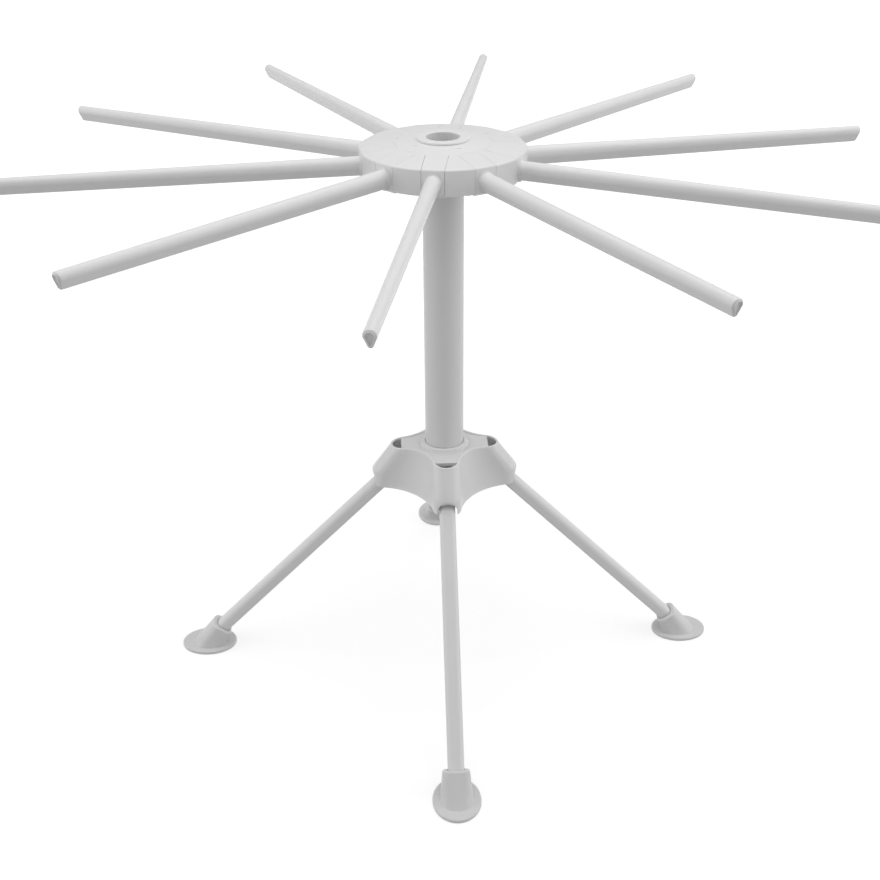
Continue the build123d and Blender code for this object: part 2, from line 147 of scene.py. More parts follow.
class Finish:
    """A material while it is made."""

    def __init__(self, name):
        self.material = bpy.data.materials.new(name)
        self.material.use_nodes = True
        self.material.node_tree.nodes.clear()

    def node(self, kind, settings=None, sockets=None, output=0):
        """One node with its settings, then its sockets' values or links. Gives the named output."""
        made = self.material.node_tree.nodes.new(kind)
        for key, setting in (settings or {}).items():
            setattr(made, key, setting)
        for key, source in (sockets or {}).items():
            if isinstance(source, Value):
                self.material.node_tree.links.new(source.socket, made.inputs[key])
            else:
                made.inputs[key].default_value = source
        return Value(self, made.outputs[output]) if len(made.outputs) else None

    def place(self, stretch=(1, 1, 1)):
        """Object coordinates, with a pattern drawn out along an axis where its stretch is small."""
        spot = self.node("ShaderNodeTexCoord", output="Object")
        return self.node("ShaderNodeMapping", {"vector_type": "POINT"}, {"Vector": spot, "Scale": stretch})

    def noise(self, place, scale, detail=3.0):
        return self.node("ShaderNodeTexNoise", {}, {"Vector": place, "Scale": scale, "Detail": detail})

    def mix(self, share, first, second):
        """A colour between two colours."""
        return self.node("ShaderNodeMix", {"data_type": "RGBA"}, {0: share, 6: first, 7: second}, output=2)

    def surface(self, **sockets):
        named = {key.replace("_", " "): source for key, source in sockets.items()}
        shader = self.node("ShaderNodeBsdfPrincipled", {}, named)
        self.node("ShaderNodeOutputMaterial", {}, {"Surface": shader})
        return self.material


def grey(level):
    """An opaque neutral colour."""
    return (level, level, level, 1.0)


def moulded_plastic(name, level, roughness, streaks=(1, 1, 1), glow=0.15, depth=0.8 * MM):
    """White moulded plastic: slightly uneven in tone, with a fine satin grain and soft sink marks.

    Its glow is the share of light that passes through it to a depth. Noise scales are in spots per metre.
    """
    sink_marks, grain_spots = 60.0, 1900.0
    finish = Finish(name)
    clouds = finish.noise(finish.place(streaks), sink_marks)
    grain = finish.noise(finish.place(streaks), grain_spots, detail=2.0)
    colour = finish.mix(clouds, grey(level - 0.025), grey(level + 0.015))
    relief = 0.45 * grain + 0.55 * clouds
    normal = finish.node("ShaderNodeBump", {}, {"Strength": 0.12, "Distance": 0.05 * MM, "Height": relief})
    return finish.surface(
        Base_Color=colour,
        Roughness=roughness + 0.10 * (clouds - 0.5) + 0.06 * (grain - 0.5),
        Normal=normal,
        IOR=1.49,
        Subsurface_Weight=glow,
        Subsurface_Scale=depth,
        Subsurface_Radius=(1.0, 1.0, 1.0),
    )


# A darker grey than the white plastic: painted shade, so that the upright tube reads as shaded.
pole_painted_shade_finish = moulded_plastic("pole plastic with painted shade", 0.76, 0.36, streaks=(1, 1, 0.03))
pole_outline = [
    (pole_bore_radius, pole_low.z),
    (pole_radius, pole_low.z),
    (pole_radius, pole_high.z),
    (pole_bore_radius, pole_high.z),
]
pole = add_piece("pole_tube", lathe(round_corners(pole_outline, pole_end_round)))
pole.data.materials.append(pole_painted_shade_finish)
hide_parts("pole")
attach(pole, "stand")

# Cap in the foot of the pole
# A moulded cup pushed up into the tube, whose flange holds the collar on the pole.
white_finish = moulded_plastic("white plastic", 0.81, 0.34)
cap_low, cap_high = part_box("pole_cap")
cap_flange_height = 1.7 * MM
cap_plug_radius = 8.55 * MM
cap_wall = 1.6 * MM
cap_edge_round = 0.4 * MM


def finish_piece(piece, material, body, slot, *nodes):
    """Gives a piece its material, hides the nodes that it stands for and ties the piece to its body. The slot
    is not used.
    """
    piece.data.materials.append(material)
    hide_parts(*nodes)
    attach(piece, body)


cap_outline = [
    (0, cap_high.z),
    (0, cap_high.z - cap_wall),
    (cap_plug_radius - cap_wall, cap_high.z - cap_wall),
    (cap_plug_radius - cap_wall, cap_low.z),
    (cap_high.x, cap_low.z),
    (cap_high.x, cap_low.z + cap_flange_height),
    (cap_plug_radius, cap_low.z + cap_flange_height),
    (cap_plug_radius, cap_high.z),
]
cap_rounds = [0, 0, cap_edge_round, cap_edge_round, cap_edge_round, cap_edge_round, 0, cap_edge_round]
cap = add_piece("pole_foot_cap", lathe(round_corners(cap_outline, cap_rounds)))
finish_piece(cap, white_finish, "stand", "white_plastic", "pole_cap")

# Collar
# One thin-walled moulding, a four-lobed skirt round the spider: each lobe leans in above a soft shoulder,
# its rim is a full round lip that dips towards the lobe's tip, and a leg comes out through the arch below.
collar_low, collar_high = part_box("collar")
collar_wall = 1.3 * MM
collar_reach = collar_high.x
leg_turns = np.radians((0, 90, 180, 270))
shoulder_height = collar_low.z + 8.5 * MM
shoulder_shares = (0.27, 0.14)
shoulder_weight = 2.3
top_side = 7.2 * MM
top_reach = 27.9 * MM
top_valley = 17.0 * MM
shoulder_side = 7.2 * MM
shoulder_valley = 20.5 * MM
bottom_side = 7.5 * MM
bottom_valley = 23.0 * MM
rim_fall = 1.0 * MM
arch_flare = 2.1 * MM
arch_radius = 5.2 * MM
arch_top = collar_low.z + 6.3 * MM
lip_round = 0.3 * MM
web_low = collar_low.z + 2.0 * MM
web_high = web_low + 2.0 * MM
socket_high = web_high + 4.0 * MM
socket_radius = 12.45 * MM
window_start = 19.2 * MM
heel_rest_width = 6.0 * MM
edge_round = 0.35 * MM
lobe_share = 0.42  # of the way from a lobe's tip to the hollow's middle, that the round lobe takes
rim_spread = 1.15  # the rim's columns crowd towards the tip by this power
arch_columns = 16
edge_columns = 44
web_columns = 21


def conic(first, middle, last, weight, steps):
    """A smooth bend from first to last that the middle point pulls towards itself by its weight."""
    share = np.linspace(0, 1, steps)[:, None]
    parts = ((1 - share) ** 2, 2 * weight * share * (1 - share), share**2)
    return (parts[0] * first + parts[1] * middle + parts[2] * last) / sum(parts)


def skirt_levels():
    """Lobe centre, lobe radius, valley radius and height at levels from the bottom to the rim."""
    bottom = np.array((collar_reach - bottom_side, bottom_side, bottom_valley, collar_low.z))
    shoulder = np.array((collar_reach - shoulder_side, shoulder_side, shoulder_valley, shoulder_height))
    top = np.array((top_reach - top_side, top_side, top_valley, collar_high.z))
    below = shoulder + shoulder_shares[0] * (bottom - shoulder)
    above = shoulder + shoulder_shares[1] * (top - shoulder)
    return np.concatenate(([bottom], conic(below, shoulder, above, shoulder_weight, 16), [top]))


LEVELS = skirt_levels()


def skirt(share, height, inset):
    """The skirt's surface from a lobe's tip, share 0, to the valley, share 1, in one eighth of the turn.

    A round lobe is joined by a hollow arc that touches it. The hollow's radius follows from the lobe's
    centre c, its radius r and the valley's radius v: (r^2 - v^2 + 2 s v - c^2) / (2 (v - s - r)), with
    s = c cos 45. The lobe takes the shares up to lobe_share and the arc takes the rest.
    """
    centre, lobe, valley = (np.interp(height, LEVELS[:, 3], LEVELS[:, column]) for column in range(3))
    lobe, valley = lobe - inset, valley - inset
    reach = centre * cos(pi / 4)
    hollow = (lobe**2 - valley**2 + 2 * reach * valley - centre**2) / (2 * (valley - reach - lobe))
    middle = (valley + hollow) * cos(pi / 4)
    join = np.arctan2(middle, middle - centre)
    sweep = join - pi / 4
    on_lobe = share < lobe_share
    turn = join * share / lobe_share
    back = join - sweep * (share - lobe_share) / (1 - lobe_share)
    x = np.where(on_lobe, centre + lobe * np.cos(turn), middle - hollow * np.cos(back))
    y = np.where(on_lobe, lobe * np.sin(turn), middle - hollow * np.sin(back))
    return x, y, join, lobe


def skirt_wall():
    """One eighth of the skirt's closed wall, as a grid of points.

    Columns follow the lower edge, from the crown of the arch, down its side and along to the valley, and rise
    to the rim. Rows go up the outer face, over the rim's round lip, down the inner face and under the edge.
    """
    half_wall = collar_wall / 2
    spring = arch_top - arch_radius
    crown = np.linspace(0, pi / 2, arch_columns)
    edge_y = np.concatenate((arch_radius * np.sin(crown), np.full(2, arch_radius)))
    side_z = (spring + collar_low.z) / 2, collar_low.z
    edge_z = np.concatenate((spring + arch_radius * np.cos(crown), side_z))
    columns = len(edge_y) + edge_columns
    top_share = np.linspace(0, 1, columns) ** rim_spread
    ground = np.concatenate((edge_z, np.full(edge_columns, collar_low.z)))
    rises, insets, lifts = skirt_rows(half_wall)
    grid = []
    for rise, inset, lift in zip(rises, insets, lifts):
        lower = ground.copy()
        lower[: len(crown)] += arch_flare * (1 - min(inset / collar_wall, 1)) * np.cos(crown)
        _, _, join, lobe = skirt(0.0, lower[: len(edge_y)], inset)
        arch_share = lobe_share * np.arcsin(edge_y / lobe) / join
        low_share = np.concatenate((arch_share, np.linspace(arch_share[-1], 1, edge_columns + 1)[1:]))
        share = (1 - rise) * low_share + rise * top_share
        rim_x, rim_y, _, _ = skirt(top_share, np.full(columns, collar_high.z), inset)
        towards_tip = (np.hypot(rim_x, rim_y) - top_valley) / (top_reach + rim_fall - top_valley)
        rim = collar_high.z - rim_fall * np.clip(towards_tip, 0, 1)
        height = (1 - rise) * lower + rise * (rim - half_wall)
        x, y, _, _ = skirt(share, height, inset)
        grid.append(np.stack((x, y, height + lift), axis=-1))
    return np.array(grid)


def skirt_rows(half_wall):
    """Where each row of the wall lies: its share of the rise, its inset and its lift above the face."""
    first_rise, under_rise = 0.012, 0.0035
    face = np.linspace(first_rise, 1, 40)
    lip = np.linspace(0, pi, 13)[1:-1]
    wall = 2 * half_wall
    foot_rise = np.array((under_rise, 0.0, 0.0, under_rise))
    foot_inset = np.array((wall - lip_round * 0.3, wall - lip_round, lip_round, lip_round * 0.3))
    rises = np.concatenate((face, np.ones(len(lip)), face[::-1], foot_rise, face[:1]))
    insets = np.concatenate((0 * face, half_wall * (1 - np.cos(lip)), 0 * face + wall, foot_inset, [0]))
    lifts = np.concatenate((0 * face, half_wall * np.sin(lip), 0 * face, 0 * foot_rise, [0]))
    return rises, insets, lifts


def turned(grid, turn):
    """A grid turned round Z."""
    x, y = grid[..., 0], grid[..., 1]
    return np.stack((x * cos(turn) - y * sin(turn), x * sin(turn) + y * cos(turn), grid[..., 2]), axis=-1)


def mirrored(grid):
    return grid * np.array((1, -1, 1))


def stack(outline, levels, centre=None):
    """A closed outline drawn in by each level's inset, along its own normals, at that level's height.

    Both ends close on a centre from which the whole outline can be seen.
    """
    outline = np.asarray(outline)
    along = np.roll(outline, -1, axis=0) - np.roll(outline, 1, axis=0)
    inward = np.stack((-along[:, 1], along[:, 0]), axis=-1) / np.linalg.norm(along, axis=1)[:, None]
    area = (outline[:, 0] * np.roll(outline[:, 1], -1) - outline[:, 1] * np.roll(outline[:, 0], -1)).sum()
    inward *= np.sign(area)
    hub_point = outline.mean(axis=0) if centre is None else np.array(centre)
    rows = [np.broadcast_to(hub_point, outline.shape)]
    rows += [outline + inset * inward for inset, _ in levels]
    rows += [np.broadcast_to(hub_point, outline.shape)]
    heights = [levels[0][1]] + [height for _, height in levels] + [levels[-1][1]]
    grid = np.array([np.column_stack((row, np.full(len(row), height))) for row, height in zip(rows, heights)])
    return np.concatenate((grid, grid[:, :1]), axis=1)


def rounded_levels(low, high, low_round, high_round, steps=4):
    """Levels of a plate whose lower and upper edges are quarter rounds."""
    turn = np.linspace(0, pi / 2, steps)
    lower = np.column_stack((low_round * (1 - np.sin(turn)), low + low_round * (1 - np.cos(turn))))
    upper = np.column_stack((high_round * (1 - np.sin(turn)), high - high_round * (1 - np.cos(turn))))
    return np.concatenate((lower, upper[::-1]))


def upright(grid):
    """A plate drawn with X outwards and Y up, stood on its edge: its thickness now runs along Y."""
    return np.stack((grid[..., 0], grid[..., 2], grid[..., 1]), axis=-1)


def side_plate(outline, radii, low, high, edge=edge_round, centre=None):
    """A plate in the plane of the radius and the upright, from low to high along Y."""
    return upright(stack(round_corners(outline, radii), rounded_levels(low, high, edge, edge), centre))


def web_quarter():
    """The floor between two windows: straight lines from an arc by the socket out to the skirt's wall."""
    start_turn = np.arcsin(arch_radius / window_start)
    turn = np.linspace(start_turn, pi / 2 - start_turn, 2 * web_columns - 1)
    inner = window_start * np.stack((np.cos(turn), np.sin(turn)), axis=-1)
    reach_in = 0.9 * collar_wall
    _, _, join, lobe = skirt(0.0, np.array([web_low]), reach_in)
    first_share = lobe_share * np.arcsin(arch_radius / lobe) / join
    shares = np.linspace(first_share[0], 1, web_columns)
    x, y, _, _ = skirt(shares, np.full(web_columns, web_low), reach_in)
    outer = np.concatenate((np.stack((x, y), axis=-1), np.stack((y, x), axis=-1)[::-1][1:]))
    rows = [(inner, web_low), (outer, web_low), (outer, web_high), (inner, web_high), (inner, web_low)]
    grid = np.array([np.column_stack((row, np.full(len(row), height))) for row, height in rows])
    middle = grid[:4].mean(axis=0)
    ends = [np.broadcast_to(middle[:1], (5, 1, 3)), np.broadcast_to(middle[-1:], (5, 1, 3))]
    return np.concatenate((ends[0], grid, ends[1]), axis=1)


eighth = skirt_wall()
quarter = np.concatenate((mirrored(eighth)[:, ::-1], eighth[:, 1:]), axis=1)
socket_outline = [
    (pole_radius, web_low),
    (window_start, web_low),
    (window_start, web_high),
    (socket_radius, web_high),
    (socket_radius, socket_high),
    (pole_radius, socket_high),
]
heel_rest_outline = [
    (pole_radius, web_low),
    (window_start, web_low),
    (window_start, socket_high),
    (pole_radius, socket_high),
]
heel_rest = side_plate(heel_rest_outline, edge_round, -heel_rest_width / 2, heel_rest_width / 2)
collar_grids = [lathe(round_corners(socket_outline, (0, edge_round, edge_round, 0, edge_round, edge_round)))]
for turn in leg_turns:
    collar_grids += [turned(quarter, turn), turned(web_quarter(), turn), turned(heel_rest, turn)]
collar = add_piece("lobed_collar", *collar_grids)
collar_finish = moulded_plastic("thin white plastic", 0.81, 0.34, glow=0.5, depth=2.0 * MM)
finish_piece(collar, collar_finish, "stand", "white_plastic", "collar")

# Spider
# A sleeve on the pole under a flat four-lobed plate, with a fork below each lobe, all one moulding. Only the
# plate, with the sleeve's raised ring, shows in the collar's mouth.
spider_low, spider_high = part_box("spider")
sleeve_bore = 10.25 * MM
sleeve_radius = 12.35 * MM
sleeve_foot_round = 0.9 * MM
plate_high = spider_high.z - 1.8 * MM
plate_low = plate_high - 2.0 * MM
plate_end = 23.1 * MM
plate_bite = 0.15 * MM
plate_shares = np.linspace(0, 1, 41)
fork_half = 4.9 * MM
fork_wall = 1.8 * MM
fork_nose = 3.0 * MM
leg_pin_circle = 23.5 * MM
leg_pin_height = spider_low.z + 4.0 * MM


def plate_outline():
    """The collar's mouth, a little way into its wall so that no gap shows, each lobe cut off straight."""
    x, y, _, _ = skirt(plate_shares, np.full(len(plate_shares), collar_high.z), collar_wall - plate_bite)
    x = np.minimum(x, plate_end)
    half = np.column_stack((x, y))
    lobe = np.concatenate((half[::-1] * (1, -1), half[1:]))
    rings = [lobe[1:] @ np.array(((cos(turn), sin(turn)), (-sin(turn), cos(turn)))) for turn in leg_turns]
    return np.concatenate(rings)


sleeve_outline = [
    (sleeve_bore, spider_low.z),
    (sleeve_radius, spider_low.z),
    (sleeve_radius, plate_low),
    (sleeve_radius + 2 * sleeve_foot_round, plate_low),
    (sleeve_radius + 2 * sleeve_foot_round, plate_high - 0.1 * edge_round),
    (sleeve_radius, plate_high),
    (sleeve_radius, spider_high.z),
    (sleeve_bore, spider_high.z),
]
sleeve_rounds = (edge_round, edge_round, 0, 0, 0, sleeve_foot_round, 2 * edge_round, edge_round)
cheek_outline = [
    (pole_radius + fork_wall / 2, plate_high - edge_round),
    (plate_end - edge_round, plate_high - edge_round),
    (leg_pin_circle + fork_nose, leg_pin_height + fork_nose / 3),
    (leg_pin_circle + fork_nose, leg_pin_height - fork_nose),
    (pole_radius + fork_wall / 2, leg_pin_height - fork_nose),
]
cheek_radii = (edge_round, 2.5 * edge_round, fork_nose, fork_nose, edge_round)
spider_grids = [
    lathe(round_corners(sleeve_outline, sleeve_rounds)),
    stack(plate_outline(), rounded_levels(plate_low, plate_high, 0, 0)),
]
for turn in leg_turns:
    for side in (-1, 1):
        faces = sorted((side * (fork_half - fork_wall), side * fork_half))
        spider_grids.append(turned(side_plate(cheek_outline, cheek_radii, *faces), turn))
spider = add_piece("leg_spider", *spider_grids)
finish_piece(spider, white_finish, "stand", "white_plastic", "spider")

# Leg pins
# Four short steel pins, cut from bright wire and pressed through the forks.
leg_pin_radius = 1.25 * MM
pin_end_round = 0.25 * MM


def across(grid, at, height):
    """What is turned round Z, laid along Y at a radius and a height."""
    return np.stack((at + grid[..., 0], grid[..., 2], height + grid[..., 1]), axis=-1)


def bright_steel(name):
    """Drawn steel wire: a fine grain along the wire under a cold polish."""
    finish = Finish(name)
    grain = finish.noise(finish.place(), 2600.0, 2.0)
    tone = finish.mix(grain, grey(0.52), grey(0.66))
    normal = finish.node("ShaderNodeBump", {}, {"Strength": 0.1, "Distance": 0.02 * MM, "Height": grain})
    return finish.surface(Base_Color=tone, Metallic=1.0, Roughness=0.22 + 0.16 * grain, Normal=normal)


steel_finish = bright_steel("bright steel")
pin_outline = [(0, -fork_half), (leg_pin_radius, -fork_half), (leg_pin_radius, fork_half), (0, fork_half)]
pin_rounds = (0, pin_end_round, pin_end_round, 0)
pin = across(lathe(round_corners(pin_outline, pin_rounds), 32), leg_pin_circle, leg_pin_height)
pins = add_piece("steel_leg_pins", *[turned(pin, turn) for turn in leg_turns])
finish_piece(pins, steel_finish, "stand", "steel_wire", "leg_pins")

# Legs
# A straight moulded bar, well rounded on its outer face, with a flat knuckle for the fork at its head and
# a heel that comes to rest on the collar's floor when the leg is open.
leg_spread = pi / 4
leg_half_width = 4.15 * MM
leg_half_depth = 3.5 * MM
leg_outer_round = 2.9 * MM
leg_inner_round = 1.3 * MM
leg_length = 155.99 * MM
leg_shoulder = 4.4 * MM
knuckle_half = 2.85 * MM
knuckle_radius = 3.1 * MM
heel_start = 16.2 * MM
heel_low = socket_high + 0.1 * MM
heel_high = heel_low + 3.2 * MM


def opened(grid):
    """What hangs straight down from the leg pin, swung out by the spread: a turn in the plane of X and Z."""
    x, z = grid[..., 0], grid[..., 2]
    swung_x = x * cos(leg_spread) - z * sin(leg_spread)
    swung_z = x * sin(leg_spread) + z * cos(leg_spread)
    return np.stack((leg_pin_circle + swung_x, grid[..., 1], leg_pin_height + swung_z), axis=-1)


def leg_section(grow=0.0, steps=8):
    """The bar's section, its outer face at +X."""
    depth, width = leg_half_depth + grow, leg_half_width + grow
    corners = [(depth, -width), (depth, width), (-depth, width), (-depth, -width)]
    rounds = [leg_outer_round + grow, leg_outer_round + grow, leg_inner_round + grow, leg_inner_round + grow]
    return round_corners(corners, rounds, steps)


shank = opened(stack(leg_section(), rounded_levels(-leg_length, -leg_shoulder, edge_round, 2 * edge_round)))
knuckle_outline = [
    (-knuckle_radius, knuckle_radius),
    (knuckle_radius, knuckle_radius),
    (knuckle_radius, -2 * leg_shoulder),
    (-knuckle_radius, -2 * leg_shoulder),
]
knuckle_rounds = (knuckle_radius, knuckle_radius, edge_round, edge_round)
knuckle = opened(side_plate(knuckle_outline, knuckle_rounds, -knuckle_half, knuckle_half))
heel_outline = [
    (heel_start, heel_low),
    (leg_pin_circle, heel_low),
    (leg_pin_circle, heel_high),
    (heel_start, heel_high),
]
heel = side_plate(heel_outline, edge_round, -knuckle_half, knuckle_half)

# Feet
# An oval pad under a shoe-like hood, one moulding, glued on the end of the leg. The hood's mouth has a thin
# rounded lip with a narrow step inside it, and its walls flare softly into the pad.
foot_low, foot_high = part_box("foot_1")
pad_centre = (foot_low.x + foot_high.x) / 2
pad_half_length = (foot_high.x - foot_low.x) / 2
pad_half_width = foot_high.y
pad_height = 1.9 * MM
pad_top_round = 0.7 * MM
pad_sole_round = 0.35 * MM
hood_side_wall = 2.75 * MM
hood_face_wall = 2.15 * MM
hood_mouth_round = 3.6 * MM
hood_mouth = leg_length - 7.7 * MM
hood_mouth_tilt = radians(10)
hood_foot_centre = pad_centre - 0.9 * MM
hood_foot_half_length = 9.5 * MM
hood_foot_half_width = 8.2 * MM
hood_foot_round = 7.6 * MM
hood_flare = 0.4 * MM
hood_lip = 0.4 * MM
hood_lip_depth = 0.9 * MM
hood_lip_round = 0.9 * MM
hood_sink = 0.2 * MM
hood_rows = 24
push_fit = 0.05 * MM


def even(outline, count):
    """The closed outline's points spaced evenly along its length, from the one straight out along +X."""
    outline = np.concatenate((outline, outline[:1]))
    run = np.concatenate(([0], np.cumsum(np.linalg.norm(np.diff(outline, axis=0), axis=1))))
    turn = np.unwrap(np.arctan2(outline[:, 1], outline[:, 0] - outline[:-1, 0].mean()))
    start = np.interp(0, turn, run) if turn[-1] > turn[0] else np.interp(0, turn[::-1], run[::-1])
    spots = (start + np.linspace(0, run[-1], count + 1)) % run[-1]
    return np.column_stack((np.interp(spots, run, outline[:, 0]), np.interp(spots, run, outline[:, 1])))


def rectangle(half_x, half_y, radius, steps=10):
    corners = [(half_x, -half_y), (half_x, half_y), (-half_x, half_y), (-half_x, -half_y)]
    return round_corners(corners, radius, steps)


def hood_grid(count=112):
    """The hood from its foot up to its mouth, over the lip and down to the leg.

    Each column runs from a point of the foot's outline to the one at the same share of the mouth's outline,
    and bows out near the pad by the flare times (1 - rise)^6. The mouth leans: it falls by x tan(tilt).
    """
    depth = (leg_half_depth + hood_face_wall) * cos(hood_mouth_tilt)
    width = leg_half_width + hood_side_wall
    foot = even(rectangle(hood_foot_half_length, hood_foot_half_width, hood_foot_round), count)
    mouth = even(rectangle(depth, width, hood_mouth_round), count)
    outward = foot / np.linalg.norm(foot, axis=1)[:, None]

    def at_mouth(outline, fall):
        return opened(np.column_stack((outline, -hood_mouth - fall - outline[:, 0] * tan(hood_mouth_tilt))))

    def drawn_in(inset):
        return even(rectangle(depth - inset, width - inset, hood_mouth_round - inset), count)

    level = np.ones(len(foot))
    middle = np.column_stack((hood_foot_centre * level, 0 * level, pad_height / 2 * level))
    base = foot @ np.eye(2, 3) + np.array((hood_foot_centre, 0, pad_height - hood_sink))
    rows = [middle, base * np.array((1, 1, 0)) + np.array((0, 0, pad_height / 2))]
    lip_start = at_mouth(mouth, hood_lip_round)
    for rise in np.linspace(0, 1, hood_rows):
        bow = hood_flare * (1 - rise) ** 6
        rows.append((1 - rise) * base + rise * lip_start + np.column_stack((bow * outward, 0 * foot[:, 0])))
    for turn in np.linspace(0, pi / 2, 6)[1:]:
        rows.append(at_mouth(drawn_in(hood_lip_round * (1 - cos(turn))), hood_lip_round * (1 - sin(turn))))
    step = even(leg_section(hood_lip), count)
    rows += [at_mouth(step, 0), at_mouth(step, hood_lip_depth)]
    bore = even(leg_section(push_fit), count)
    rows.append(at_mouth(bore, hood_lip_depth))
    bore_end = np.full(len(bore), -leg_length)
    rows += [opened(np.column_stack((bore, bore_end))), opened(np.column_stack((0 * bore, bore_end)))]
    return np.array(rows)


# A darker grey than the white plastic: painted shade, for the dimmer light down at the floor.
foot_painted_shade_finish = moulded_plastic("foot plastic with painted shade", 0.74, 0.38)
pad_turn = np.linspace(0, 2 * pi, 96, endpoint=False)
pad_x, pad_y = pad_centre + pad_half_length * np.cos(pad_turn), pad_half_width * np.sin(pad_turn)
pad_outline = np.column_stack((pad_x, pad_y))
pad = stack(pad_outline, rounded_levels(0, pad_height, pad_sole_round, pad_top_round, 6))
hood = hood_grid()
for number, turn in enumerate(leg_turns, 1):
    leg = add_piece(f"leg_bar_{number}", *[turned(grid, turn) for grid in (shank, knuckle, heel)])
    finish_piece(leg, white_finish, f"leg_{number}", "white_plastic", f"leg_{number}")
    foot = add_piece(f"foot_shoe_{number}", *[turned(grid, turn) for grid in (pad, hood)])
    finish_piece(foot, foot_painted_shade_finish, f"leg_{number}", "white_plastic", f"foot_{number}")

# Hub
# A thick round cap moulded with a boss that grips the pole, a wall round the rim and a pair of ears
# beside each slot. Every edge that shows is broken by a small round.
hub_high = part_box("hub")[1]
hub_radius = hub_high.x
bush_low, bush_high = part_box("ring_bush")
hub_dome_rise = 3.4 * MM
rim_top = hub_high.z - hub_dome_rise
bush_flange_radius = bush_high.x
hub_edge = 0.15 * MM
hub = bpy.data.objects.new("slotted_hub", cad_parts["hub"].data.copy())
bpy.context.scene.collection.objects.link(hub)
shell = bmesh.new()
shell.from_mesh(hub.data)
bmesh.ops.remove_doubles(shell, verts=shell.verts, dist=MERGE)
bmesh.ops.dissolve_limit(shell, angle_limit=radians(1), verts=shell.verts, edges=shell.edges)
shell.to_mesh(hub.data)
shell.free()
hub.data.shade_smooth()
hub.data.set_sharp_from_angle(angle=radians(40))
edges = hub.modifiers.new("broken edges", "BEVEL")
edges.width = hub_edge
edges.segments = 3
edges.limit_method = "ANGLE"
edges.angle_limit = radians(40)
flat = hub.modifiers.new("flat faces stay flat", "WEIGHTED_NORMAL")
hub.data.materials.clear()
finish_piece(hub, white_finish, "stand", "white_plastic", "hub")

# Ring bush
# A flanged ring pushed into the hub's hole, with a softly rounded top and a fine gap under its flange.
bush_lip_round = 0.55 * MM
bush_flange_round = 0.95 * MM
bush_gap = 0.4 * MM
bush_outline = [
    (pole_bore_radius, bush_low.z),
    (pole_radius, bush_low.z),
    (pole_radius, hub_high.z),
    (bush_flange_radius, hub_high.z),
    (bush_flange_radius, bush_high.z),
    (pole_bore_radius, bush_high.z),
]
bush_rounds = (bush_gap, bush_gap, 0, bush_gap, bush_flange_round, bush_lip_round)
bush = add_piece("flanged_ring", lathe(round_corners(bush_outline, bush_rounds, 6), 128))
finish_piece(bush, white_finish, "stand", "white_plastic", "ring_bush")

# Wire ring
# One length of steel wire, straight through each arm's root and bent between arms. Its two ends are
# twisted together and hang down in a short tail.
wire_radius = 1.1 * MM
wire_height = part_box("hinge_wire")[1].z - wire_radius
wire_circle = hub_radius - 6.5 * MM
wire_bend = 4.0 * MM
arm_count = 10
arm_turns = np.radians(9.0) + 2 * pi * np.arange(arm_count) / arm_count
tail_length = 7.5 * MM
tail_pitch = 5.0 * MM
tail_spread = 0.99 * MM


def rod_round(path, side, up, radius, count=16):
    """A round bar along a path: each point plus radius times (cos t side + sin t up)."""
    turn = np.linspace(0, 2 * pi, count + 1)[None, :, None]
    return path[:, None] + radius * (np.cos(turn) * side[:, None] + np.sin(turn) * up[:, None])


def bent_ring():
    corner = wire_circle / cos(pi / arm_count)
    turns = arm_turns + pi / arm_count
    plan = round_corners(np.column_stack((corner * np.cos(turns), corner * np.sin(turns))), wire_bend, 6)
    plan = np.concatenate((plan, plan[:1]))
    along = np.roll(plan[:-1], -1, axis=0) - np.roll(plan[:-1], 1, axis=0)
    along = np.concatenate((along, along[:1]))
    outward = np.stack((along[:, 1], -along[:, 0]), axis=-1) / np.linalg.norm(along, axis=1)[:, None]
    path = np.column_stack((plan, np.full(len(plan), wire_height)))
    side = np.column_stack((outward, np.zeros(len(plan))))
    up = np.broadcast_to(np.array((0.0, 0.0, 1.0)), path.shape)
    return rod_round(path, side, up, wire_radius)


def tail_strand(start):
    """Half of the twisted tail: a helix round a line that hangs from the ring, its end rounded off."""
    fall = np.linspace(0, tail_length, 40)
    turn = start + 2 * pi * fall / tail_pitch
    around = np.column_stack((np.cos(turn), np.sin(turn), 0 * turn))
    ahead = np.column_stack((-np.sin(turn), np.cos(turn), 0 * turn)) * 2 * pi * tail_spread / tail_pitch
    ahead[:, 2] = -1
    ahead /= np.linalg.norm(ahead, axis=1)[:, None]
    middle_turn = arm_turns[arm_count // 4] + pi / arm_count
    bend_depth = wire_bend * (1 / cos(pi / arm_count) - 1)
    at = wire_circle / cos(pi / arm_count) - bend_depth
    centre = np.array((at * cos(middle_turn), at * sin(middle_turn), wire_height))
    path = centre + tail_spread * around - np.column_stack((0 * fall, 0 * fall, fall))
    grid = rod_round(path, around, np.cross(ahead, around), wire_radius)
    cap = np.linspace(0, pi / 2, 4)[1:, None, None]
    last_ring = grid[-1] - path[-1]
    nose = path[-1] + np.cos(cap) * last_ring + np.sin(cap) * 0.3 * wire_radius * ahead[-1]
    first = np.broadcast_to(path[0], grid[:1].shape)
    return np.concatenate((first, grid, nose))


wire = add_piece("twisted_wire_ring", bent_ring(), tail_strand(0.0), tail_strand(pi))
finish_piece(wire, steel_finish, "stand", "steel_wire", "hinge_wire")

